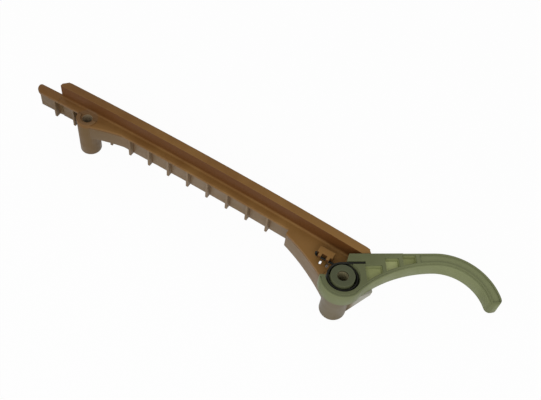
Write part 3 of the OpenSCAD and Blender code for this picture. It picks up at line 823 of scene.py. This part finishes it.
class CHAINGUIDE_OT_torsion_spring(bpy.types.Operator):
    """Wind the torsion spring and draw out its two legs"""

    bl_idname = "chainguide.torsion_spring"
    bl_label = "Torsion Spring"

    def execute(self, context):
        look = context.scene.chain_guide_spring
        piece = self.wind_coil(context, look)
        bpy.ops.object.mode_set(mode="EDIT")
        bpy.ops.mesh.select_mode(type="VERT")
        self.draw_arm_leg(piece, look)
        self.draw_fixed_leg(piece, look)
        bpy.ops.mesh.select_all(action="SELECT")
        bpy.ops.mesh.normals_make_consistent(inside=False)
        bpy.ops.object.mode_set(mode="OBJECT")
        bpy.ops.object.shade_smooth_by_angle(angle=WIRE_SMOOTH_ANGLE)
        give_material(piece, oiled_wire(look))
        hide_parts("torsion_spring")
        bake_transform(piece)
        return {"FINISHED"}

    def wind_coil(self, context, look):
        """Coil from the arm's leg down to the fixed leg, open at both ends"""
        deselect_all()
        bpy.ops.mesh.primitive_circle_add(
            vertices=WIRE_SIDES, radius=look.wire / 2, fill_type="NOTHING",
            location=(look.coil / 2, 0.0, look.high), rotation=(math.pi / 2, 0.0, 0.0))
        piece = context.view_layer.objects.active
        piece.name = "spring_wire"
        piece.data.name = "spring_wire"
        bpy.ops.object.transform_apply(location=True, rotation=True, scale=True)
        screw = piece.modifiers.new("winding", "SCREW")
        screw.axis = "Z"
        screw.angle = look.sweep
        screw.screw_offset = look.low - look.high
        screw.steps = math.ceil(look.sweep / COIL_STEP)
        screw.render_steps = screw.steps
        screw.use_merge_vertices = False
        bpy.ops.object.modifier_apply(modifier=screw.name)
        piece.rotation_euler = (0.0, 0.0, look.arm_angle + math.pi / 2)
        bpy.ops.object.transform_apply(location=True, rotation=True, scale=True)
        return piece

    def draw_arm_leg(self, piece, look):
        """Straight leg that lies in the arm's slot"""
        along = level_direction(look.arm_angle)
        end = edit_end(piece, -1) + along * look.arm_leg
        draw_leg(along * look.arm_leg)
        close_end(end, along, look.wire / 2)

    def draw_fixed_leg(self, piece, look):
        """Straight leg through the clip, with its end bent up"""
        along = level_direction(look.fixed_angle)
        up = Vector((0.0, 0.0, 1.0))
        bend_radius = look.wire
        straight = look.fixed_leg - bend_radius
        end = edit_end(piece, 0) + along * straight
        draw_leg(along * straight)
        bpy.ops.mesh.spin(
            steps=HOOK_STEPS, angle=math.pi / 2, center=end + up * bend_radius, axis=up.cross(along))
        draw_out(up * (look.hook - bend_radius))
        close_end(end + along * bend_radius + up * look.hook, up, look.wire / 2)


# Stage

# The floor lies just clear of the bosses' lower ends
FLOOR_GAP = 0.1 * MM
FLOOR_SIZE = 12.0
FLOOR_ROUGHNESS = 0.9
FLOOR_GLOSS = 0.1

# Place, aim and size of the large soft light
KEY_PLACE = (0.20, -0.75, 0.60)
KEY_AIM = (-0.08, 0.0, 0.02)
KEY_SIZE = (1.0, 0.8)

# Camera axes and place, fitted to the photograph's straight and upright edges
CAMERA_RIGHT = (0.8510, 0.5172, 0.0923)
CAMERA_UP = (-0.4728, 0.6770, 0.5640)
CAMERA_BACK = (0.2292, -0.5236, 0.8205)
CAMERA_PLACE = (0.0505, -0.2383, 0.4493)
NEAREST_SEEN = 10.0 * MM

# Sensor width in millimetres, as Blender gives it beside the focal length
SENSOR_WIDTH = 36.0


def seen_rays(tree):
    """1 for what the camera sees directly, in a reflection or through glass."""
    path = node_of(tree, "ShaderNodeLightPath").outputs
    mirrored = either(tree, path["Is Camera Ray"], path["Is Glossy Ray"])
    return either(tree, mirrored, path["Is Transmission Ray"])


def mix_shaders(tree, factor, first, second):
    """Mix two shaders by an output socket's value."""
    node = node_of(tree, "ShaderNodeMixShader")
    tree.links.new(factor, node.inputs["Fac"])
    tree.links.new(first, node.inputs[1])
    tree.links.new(second, node.inputs[2])
    return node.outputs["Shader"]


class CHAINGUIDE_OT_stage(bpy.types.Operator):
    """Set up the floor, the soft lights and the camera"""

    bl_idname = "chainguide.stage"
    bl_label = "Stage"

    def execute(self, context):
        look = context.scene.chain_guide_stage
        self.lay_floor(context, look)
        self.hang_lights(context, look)
        self.place_camera(context, look)
        context.scene.view_settings.view_transform = "Standard"
        return {"FINISHED"}

    def lay_floor(self, context, look):
        """Pale floor under the bosses, white to the camera apart from the soft shadow, clear from below"""
        deselect_all()
        bpy.ops.mesh.primitive_plane_add(size=FLOOR_SIZE, location=(0.0, 0.0, -FLOOR_GAP))
        floor = context.view_layer.objects.active
        floor.name = "floor"
        material, tree, shader = new_material("pale_floor")
        shader.inputs["Base Color"].default_value = (*look.floor, 1.0)
        shader.inputs["Roughness"].default_value = FLOOR_ROUGHNESS
        shader.inputs["Specular IOR Level"].default_value = FLOOR_GLOSS
        white = node_of(tree, "ShaderNodeEmission").outputs["Emission"]
        share = both(tree, seen_rays(tree), look.whiteness)
        above = mix_shaders(tree, share, shader.outputs["BSDF"], white)
        clear = node_of(tree, "ShaderNodeBsdfTransparent").outputs["BSDF"]
        from_below = node_of(tree, "ShaderNodeNewGeometry").outputs["Backfacing"]
        one_sided = mix_shaders(tree, from_below, above, clear)
        tree.links.new(one_sided, tree.nodes["Material Output"].inputs["Surface"])
        give_material(floor, material)

    def hang_lights(self, context, look):
        """One large soft light in front, and an even sky that looks white"""
        deselect_all()
        bpy.ops.object.light_add(type="AREA", location=KEY_PLACE)
        key = context.view_layer.objects.active
        key.name = "soft_key"
        key.data.shape = "RECTANGLE"
        key.data.size, key.data.size_y = KEY_SIZE
        key.data.energy = look.key
        aim = Vector(KEY_AIM) - key.location
        key.rotation_euler = aim.to_track_quat("-Z", "Y").to_euler()
        world = bpy.data.worlds.new("even_sky")
        world.use_nodes = True
        tree = world.node_tree
        sky = tree.nodes["Background"]
        sky.inputs["Color"].default_value = (1.0, 1.0, 1.0, 1.0)
        strength = node_of(tree, "ShaderNodeMapRange")
        strength.inputs["To Min"].default_value = look.sky
        strength.inputs["To Max"].default_value = 1.0
        tree.links.new(seen_rays(tree), strength.inputs["Value"])
        tree.links.new(strength.outputs["Result"], sky.inputs["Strength"])
        context.scene.world = world

    def place_camera(self, context, look):
        """Camera at the photograph's viewing angle"""
        deselect_all()
        bpy.ops.object.camera_add(location=CAMERA_PLACE)
        camera = context.view_layer.objects.active
        camera.name = "photo_camera"
        axes = Matrix((CAMERA_RIGHT, CAMERA_UP, CAMERA_BACK)).transposed()
        camera.rotation_euler = axes.to_euler()
        camera.data.lens = look.lens
        camera.data.sensor_fit = "HORIZONTAL"
        camera.data.sensor_width = SENSOR_WIDTH
        camera.data.clip_start = NEAREST_SEEN
        context.scene.camera = camera


class CHAINGUIDE_PT_panel(bpy.types.Panel):
    """Sidebar panel with a button and the settings of each piece and of the stage"""

    bl_idname = "CHAINGUIDE_PT_panel"
    bl_label = "Chain Guide"
    bl_space_type = "VIEW_3D"
    bl_region_type = "UI"
    bl_category = "Chain Guide"

    def draw(self, context):
        for operator, settings in PIECES:
            box = self.layout.box()
            box.operator(operator.bl_idname)
            group = getattr(context.scene, settings)
            for name in group.__annotations__:
                box.prop(group, name)


SETTINGS = (
    ("chain_guide_rail", MouldedRailSettings),
    ("chain_guide_arm", TensionerArmSettings),
    ("chain_guide_spring", TorsionSpringSettings),
    ("chain_guide_stage", StageSettings),
)
PIECES = (
    (CHAINGUIDE_OT_guide_rail, "chain_guide_rail"),
    (CHAINGUIDE_OT_tensioner_arm, "chain_guide_arm"),
    (CHAINGUIDE_OT_torsion_spring, "chain_guide_spring"),
    (CHAINGUIDE_OT_stage, "chain_guide_stage"),
)


def register():
    for name, settings in SETTINGS:
        bpy.utils.register_class(settings)
        setattr(bpy.types.Scene, name, bpy.props.PointerProperty(type=settings))
    for operator, _ in PIECES:
        bpy.utils.register_class(operator)
    bpy.utils.register_class(CHAINGUIDE_PT_panel)


def unregister():
    bpy.utils.unregister_class(CHAINGUIDE_PT_panel)
    for operator, _ in reversed(PIECES):
        bpy.utils.unregister_class(operator)
    for name, settings in reversed(SETTINGS):
        delattr(bpy.types.Scene, name)
        bpy.utils.unregister_class(settings)


def main():
    register()
    bpy.ops.chainguide.guide_rail()
    bpy.ops.chainguide.tensioner_arm()
    bpy.ops.chainguide.torsion_spring()
    bpy.ops.chainguide.stage()


if __name__ == "__main__":
    main()
